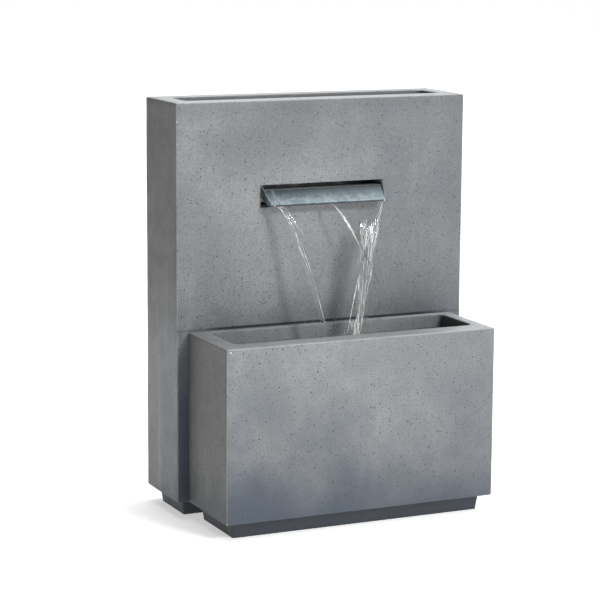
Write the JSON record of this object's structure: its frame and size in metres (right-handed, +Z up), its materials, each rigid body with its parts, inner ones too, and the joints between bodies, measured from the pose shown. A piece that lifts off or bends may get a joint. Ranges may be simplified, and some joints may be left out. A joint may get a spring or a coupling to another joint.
{
  "type": "wall-style water fountain",
  "caption": "Free-standing garden fountain: a tall hollow cast tower with a sheet-metal spout pours into a lower rectangular basin, fed by a submersible pump inside.",
  "frame": {"origin": "on the ground, under the middle of the whole fountain", "axes": "+Z up, +Y from the basin to the tower's back, +X to the right seen from the front"},
  "size_m": [0.6, 0.34, 0.784],
  "materials": {
    "cast_stone": "matte cast fibre cement, lead grey, mottled, with fine pinholes",
    "spout_zinc": "satin blue-grey sheet metal",
    "box_zinc": "dull galvanised sheet metal",
    "stainless": "plain stainless steel",
    "rubber": "matte black rubber",
    "hose_vinyl": "smooth dark grey flexible hose",
    "impeller_plastic": "moulded off-white plastic",
    "ferrite": "ground dark ferrite",
    "shaft_ceramic": "polished white ceramic",
    "knob_plastic": "moulded dark blue plastic",
    "pump_plastic": "moulded black plastic",
    "fitting_plastic": "moulded black plastic"
  },
  "bodies": {
    "root": {"basin_casing": "cast_stone", "basin_elbow": "fitting_plastic", "bulkhead_fitting": "fitting_plastic", "bulkhead_nut": "fitting_plastic", "bulkhead_seal": "rubber", "cable_gland": "fitting_plastic", "cable_gland_nut": "fitting_plastic", "cable_gland_seal": "rubber", "cable_grommet": "rubber", "lower_clamp_band_1": "stainless", "lower_clamp_band_2": "stainless", "lower_clamp_screw_1": "stainless", "lower_clamp_screw_2": "stainless", "lower_hose": "hose_vinyl", "pump_cable_gland": "rubber", "pump_chamber_cover": "pump_plastic", "pump_cover_seal": "rubber", "pump_foot_1": "rubber", "pump_foot_2": "rubber", "pump_foot_3": "rubber", "pump_foot_4": "rubber", "pump_front_bush": "rubber", "pump_housing": "pump_plastic", "pump_outlet_nozzle": "pump_plastic", "pump_rear_bush": "rubber", "pump_shaft": "shaft_ceramic", "spout_chute": "spout_zinc", "tie_bolt_1": "stainless", "tie_bolt_2": "stainless", "tie_nut_1": "stainless", "tie_nut_2": "stainless", "tie_seal_1": "rubber", "tie_seal_2": "rubber", "tie_washer_1": "stainless", "tie_washer_2": "stainless", "tower_casing": "cast_stone", "tower_elbow": "fitting_plastic", "upper_clamp_band_1": "stainless", "upper_clamp_band_2": "stainless", "upper_clamp_screw_1": "stainless", "upper_clamp_screw_2": "stainless", "upper_hose": "hose_vinyl", "weir_box": "box_zinc", "weir_box_screw_1": "stainless", "weir_box_screw_2": "stainless", "weir_box_screw_3": "stainless", "weir_box_screw_4": "stainless", "weir_inlet": "fitting_plastic", "weir_inlet_nut": "fitting_plastic", "weir_inlet_seal": "rubber"},
    "rotor": {"pump_impeller": "impeller_plastic", "pump_rotor_magnet": "ferrite"},
    "flow_knob": {"pump_flow_knob": "knob_plastic"},
    "strainer": {"pump_strainer_cover": "pump_plastic"},
    "weir_lid": {"weir_box_lid": "box_zinc"},
    "plug": {"drain_plug": "rubber"}
  },
  "joints": [
    {"name": "impeller_spin", "type": "hinge", "parent": "root", "child": "rotor", "pos_m": [0.045, -0.051, 0.0793], "axis": [1, 0, 0], "continuous": true},
    {"name": "flow_knob_turn", "type": "hinge", "parent": "root", "child": "flow_knob", "pos_m": [0.036, -0.024, 0.0998], "axis": [0, 1, 0], "range_deg": [0, 90]},
    {"name": "strainer_pull", "type": "slide", "parent": "root", "child": "strainer", "axis": [-1, 0, 0], "range_m": [0, 0.04]},
    {"name": "weir_lid_lift", "type": "slide", "parent": "root", "child": "weir_lid", "axis": [0, 0, 1], "range_m": [0, 0.08]},
    {"name": "drain_plug_pull", "type": "slide", "parent": "root", "child": "plug", "axis": [0, 0, 1], "range_m": [0, 0.05]}
  ]
}
